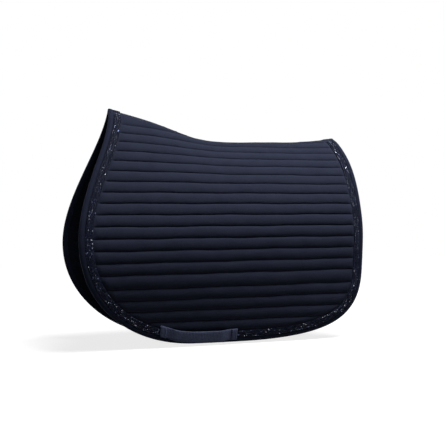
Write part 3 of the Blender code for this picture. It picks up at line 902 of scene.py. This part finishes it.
for name, side in SIDES.items():
    binding = strip(f"{name}_binding", side, binding_profile, ROW_SPACING, 0.018)
    if binding.data.polygons[0].normal.y * side < 0.0:
        binding.data.flip_normals()
    thicken(binding, 0.0009)
    nodes = [f"{name}_{part}_binding" for part in EDGE_PARTS]
    finish_piece(binding, tape_cloth, "binding_tape", *nodes)
    band = strip(f"{name}_band", side, band_profile, ROW_SPACING)
    face_towards(band, side, True)
    thicken(band, 0.0008)
    nodes = [f"{name}_{part}_sequin_band" for part in EDGE_PARTS]
    finish_piece(band, band_cloth, "sequin_band", *nodes)
    for piece in (binding, band):
        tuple(blend_start[name])
        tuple(blend_end[name])
        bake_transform(piece)
    print(name, "binding", len(binding.data.polygons), "faces")

# %% [markdown]
# ## Stones on the band
# The band is thick with small cut stones. Each one is a low cone with a flat top, six-sided,
# tipped a little its own way so that a few catch the lamp while their neighbours stay dark. A
# number kept on every stone sets its colour: a random dark blue for most, and for a few a
# near-white metal that is a painted glint.

# %% Stones on the band
STONE_PITCH = 0.0025
STONE_FACES = 8
BAND_RISE = 0.0051
BAND_REACH = (0.0134, 0.0274)
BATCH = 200


def frames_on_band(side, position, inset, lift):
    """Places on the band with their outward and lengthwise directions."""
    spot = along_edge(side, position, inset, lift)
    above_spot = along_edge(side, position, inset, lift + 0.001)
    ahead = along_edge(side, np.minimum(position + 0.001, edge - 0.001), inset, lift)
    return spot, above_spot - spot, ahead - spot


def stone_spots(rng):
    """Positions, insets, sizes and marks: offset rows, each stone a little out of line.

    The pale ones, which are painted glints, are larger.
    """
    rows = np.arange(0.0136, 0.0276, STONE_PITCH * 0.9)
    places = []
    for number, inset in enumerate(rows):
        line = np.arange(0.004 + (number % 2) * STONE_PITCH / 2, edge - 0.004, STONE_PITCH)
        places.append(np.stack([line, np.full_like(line, inset)], axis=1))
    places = np.concatenate(places) + rng.normal(0.0, 0.00028, (sum(map(len, places)), 2))
    marks = rng.random(len(places))
    radius = rng.uniform(0.00075, 0.00125, len(places)) * np.where(marks > PAINTED_GLINT_CUT, 1.45, 1.0)
    return places[:, 0], np.clip(places[:, 1], *BAND_REACH), radius, marks


def add_stone(batch, radius, at):
    """One low six-sided cone with a flat top."""
    top, height = radius * 0.55, radius * 0.8
    shape = {"segments": 6, "radius1": radius, "radius2": top, "depth": height}
    bmesh.ops.create_cone(batch, cap_ends=True, matrix=at, **shape)


def cut_stones(name, side, rng):
    """All the stones of one side as one mesh."""
    position, inset, radius, marks = stone_spots(rng)
    spot, out, ahead = frames_on_band(side, position, inset, np.full_like(position, BAND_RISE))
    tip = rng.normal(0.0, 0.17, (len(position), 2))
    spin = rng.uniform(0.0, math.pi, len(position))

    def batches():
        for start in range(0, len(position), BATCH):
            batch = bmesh.new()
            for i in range(start, min(start + BATCH, len(position))):
                facing = Vector(out[i]).normalized()
                level = (Vector(ahead[i]) - Vector(ahead[i]).dot(facing) * facing).normalized()
                basis = Matrix((level, facing.cross(level), facing)).transposed().to_4x4()
                turned = Matrix.Rotation(tip[i, 0], 4, "X") @ Matrix.Rotation(tip[i, 1], 4, "Y")
                turned = turned @ Matrix.Rotation(spin[i], 4, "Z")
                at = Matrix.Translation(Vector(spot[i]) + facing * radius[i] * 0.25) @ basis @ turned
                add_stone(batch, radius[i], at)
            yield batch

    made = gather(name, batches())
    mesh = made.data
    # The number kept on each stone gives its random dark tone, or, above the cut, a painted glint.
    sparkle = mesh.attributes.new("sparkle", "FLOAT", "FACE")
    sparkle.data.foreach_set("value", np.repeat(marks, STONE_FACES).astype(np.float32))
    mesh.materials.append(dark_stones)
    mesh.materials.append(pale_stones)
    chosen = np.zeros(len(mesh.polygons), dtype=np.float32)
    sparkle.data.foreach_get("value", chosen)
    mesh.polygons.foreach_set("material_index", (chosen > PAINTED_GLINT_CUT).astype(np.int32))
    return made


for number, (name, side) in enumerate(SIDES.items()):
    stones = cut_stones(f"{name}_stones", side, np.random.default_rng(40 + number))
    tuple(blend_start[name])
    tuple(blend_end[name])
    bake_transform(stones)
    print(name, len(stones.data.polygons) // STONE_FACES, "stones")

# %% [markdown]
# ## Girth keeper
# One webbing strap is sewn over the lower edge by a folded tab at each end, and stands off
# between them so that a girth can pass behind it. It is a strip whose rise follows a smooth step
# up from each tab.

# %% Girth keeper
KEEPER = (-0.201, -0.030)
KEEPER_WIDTH = 0.025
KEEPER_RISE = 0.006
TAB_RISE = 0.0078
TAB_LENGTH = 0.0125
TAB_OVERHANG = 0.0008
TAB_FOLD = 0.0018


def keeper_points(side, x, across, lift):
    """World points on the strap: x along it, across from its middle line, which sags between the tabs."""
    low = outline[(outline[:, 1] > BOTTOM / 2) & (outline[:, 0] < 0.0)]
    share = np.clip((x - KEEPER[0]) / (KEEPER[1] - KEEPER[0]), 0.0, 1.0)
    sag = 0.0031 * np.sin(math.pi * share) + 0.0039 * share - 0.0011
    middle = np.interp(x, low[:, 0], low[:, 1]) - TAPE_WIDTH - KEEPER_WIDTH / 2 + sag
    drop = middle + across
    return place(side, x, drop, lift, np.maximum(BOTTOM - drop, 0.0))


def keeper_lift(x):
    """Rise of the strap off the cloth."""
    from_end = np.minimum(x - KEEPER[0], KEEPER[1] - x)
    return TAB_RISE + KEEPER_RISE * ease(from_end, 0.013, 0.040)


def webbing(name, side, start, end, raised):
    """A length of the strap with rounded long edges."""
    xs = np.linspace(start, end, max(6, int((end - start) / 0.0028)))
    across = np.array([-1.0, -0.97, -0.9, -0.6, -0.2, 0.2, 0.6, 0.9, 0.97, 1.0]) * KEEPER_WIDTH / 2
    bm = even_grid(xs, across)
    map_cloth(bm)

    def shape(x, y):
        rounding = -0.0003 * ease(np.abs(y), KEEPER_WIDTH * 0.45, KEEPER_WIDTH * 0.5)
        return keeper_points(side, x, y, keeper_lift(x) + raised + rounding)

    return shape_piece(name, bm, shape)


for name, side in SIDES.items():
    strap = webbing(f"{name}_keeper_strap", side, *KEEPER, 0.0)
    front = (KEEPER[0] - TAB_OVERHANG, KEEPER[0] + TAB_LENGTH)
    back = (KEEPER[1] - TAB_LENGTH, KEEPER[1] + TAB_OVERHANG)
    front_tab = webbing(f"{name}_keeper_front_tab", side, *front, TAB_FOLD)
    rear_tab = webbing(f"{name}_keeper_rear_tab", side, *back, TAB_FOLD)
    for piece in (strap, front_tab, rear_tab):
        face_towards(piece, side, True)
        thicken(piece, 0.0016)
        finish_piece(piece, webbing_cloth, "keeper_webbing", *[f"{name}_girth_keeper"] * (piece == strap))
        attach(piece, f"{name}_flap")

# %% [markdown]
# ## Stitching
# Thread shows as short raised dashes in the valleys of the quilting, along the inner edge of the
# binding, down both sides of the band and across the tabs of the strap. Every dash is the same
# small bead of twenty faces, stretched and laid along its line.

# %% Stitching
TRIM_LINES = ((0.0104, 0.00545), (0.0104, -0.0051), (0.0127, 0.0050), (0.0277, 0.0050))
TAB_STITCH_RISE = 0.0098
BEAD_FACES = 20


def point_on(path, so_far, reach):
    """The point of a line at a distance along it."""
    return Vector([np.interp(reach, so_far, path[:, axis]) for axis in range(3)])


def stitches(name, paths, length, gap, radius):
    """Dashes of thread along lines of world points, as one mesh."""
    stretch = Matrix.Diagonal((1.0, 1.0, length / radius / 2, 1.0))

    def batches():
        for path in paths:
            runs = np.linalg.norm(np.diff(path, axis=0), axis=1)
            so_far = np.concatenate([[0.0], np.cumsum(runs)])
            batch = bmesh.new()
            for start in np.arange(gap, so_far[-1] - length - gap / 2, length + gap):
                first, last = (point_on(path, so_far, reach) for reach in (start, start + length))
                if (last - first).length < length * 0.5:
                    continue
                aim = (last - first).to_track_quat("Z", "Y").to_matrix().to_4x4()
                at = Matrix.Translation((first + last) / 2) @ aim @ stretch
                bmesh.ops.create_icosphere(batch, subdivisions=1, radius=radius, matrix=at)
            yield batch

    return gather(name, batches())


def quilting_paths(side):
    """Lines in the valleys, between the bands at both ends and under the spine."""
    paths = []
    for seam in seams[:-1]:
        x = np.linspace(-0.38, 0.29, 336)
        distance, _ = nearest_edge(x, np.full_like(x, seam))
        kept = inside(x, np.full_like(x, seam), border_line(TRIM - 0.001)) & (seam > spine_drop(x) + 0.002)
        changes = np.where(np.diff(kept.astype(int)) != 0)[0] + 1
        for group in np.split(np.arange(len(x)), changes):
            if kept[group[0]] and len(group) > 4:
                drop = np.full(len(group), seam)
                paths.append(place(side, x[group], drop, SEAM_RISE + 0.0001, distance[group]))
    return paths


for name, side in SIDES.items():
    positions = np.linspace(0.006, edge - 0.006, 500)
    lines = [along_edge(side, positions, inset, np.full_like(positions, lift)) for inset, lift in TRIM_LINES]
    xs = [KEEPER[0] + 0.002, KEEPER[0] + 0.0105, KEEPER[1] - 0.0105, KEEPER[1] - 0.002]
    across = np.linspace(-0.011, 0.011, 12)
    tabs = [keeper_points(side, np.full(12, x), across, np.full(12, TAB_STITCH_RISE)) for x in xs]
    quilting = stitches(f"{name}_quilting_thread", quilting_paths(side), 0.0026, 0.0009, 0.00028)
    trim_thread = stitches(f"{name}_trim_thread", lines, 0.0026, 0.0009, 0.00026)
    tab_thread = stitches(f"{name}_keeper_thread", tabs, 0.0022, 0.0008, 0.0003)
    finish_piece(quilting, thread_with_painted_seam_shade, "seam_thread", f"{name}_flap_seam")
    for piece in (trim_thread, tab_thread):
        finish_piece(piece, thread_with_painted_seam_shade, "seam_thread")
    for piece in (quilting, trim_thread):
        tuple(blend_start[name])
        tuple(blend_end[name])
        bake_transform(piece)
    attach(tab_thread, f"{name}_flap")
    print(name, "stitches", len(quilting.data.polygons) // BEAD_FACES)

# %% [markdown]
# ## Spine tape
# Underneath, a soft tape covers the seam that joins the halves. It follows the spine as a shallow
# roof.

# %% Spine tape
HALF_TAPE = 0.013
TAPE_BELOW = 0.0048


def roof_under_spine(x, y):
    """World points under the spine, y being the way down either side."""
    under = place(1, x, spine_drop(x) + np.abs(y), -TAPE_BELOW)
    at_ridge = np.abs(y) < 1e-6
    under[:, 1] = np.where(at_ridge, 0.0, np.abs(under[:, 1]) * np.sign(y))
    ridge_drop = TAPE_BELOW / np.cos(np.radians(spine_slope(x)))
    under[at_ridge, 2] = (place(1, x, spine_drop(x), 0.0)[:, 2] - ridge_drop)[at_ridge]
    return under


roof = np.array([-1.0, -0.9, -0.5, 0.0, 0.5, 0.9, 1.0]) * HALF_TAPE
bm = even_grid(np.linspace(-0.277, 0.277, 120), roof)
map_cloth(bm)
spine_tape = shape_piece("spine_under_tape", bm, roof_under_spine)
if spine_tape.data.polygons[0].normal.z > 0.0:
    spine_tape.data.flip_normals()
thicken(spine_tape, 0.001)
finish_piece(spine_tape, tape_cloth, "binding_tape", "spine_tape")
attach(spine_tape, "saddle_area")

spine_x = np.linspace(SPINE_FRONT[0] + 0.004, SPINE_REAR[0] - 0.004, 240)
spine_line = place(1, spine_x, spine_drop(spine_x), 0.0)
spine_line[:, 1] = 0.0
spine_line[:, 2] += SPINE_RISE
spine_thread = stitches("spine_stitching", [spine_line], 0.0028, 0.0009, 0.0004)
finish_piece(spine_thread, thread_with_painted_seam_shade, "seam_thread", "spine_seam")
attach(spine_thread, "saddle_area")
print("spine tape", len(spine_tape.data.polygons), "faces")
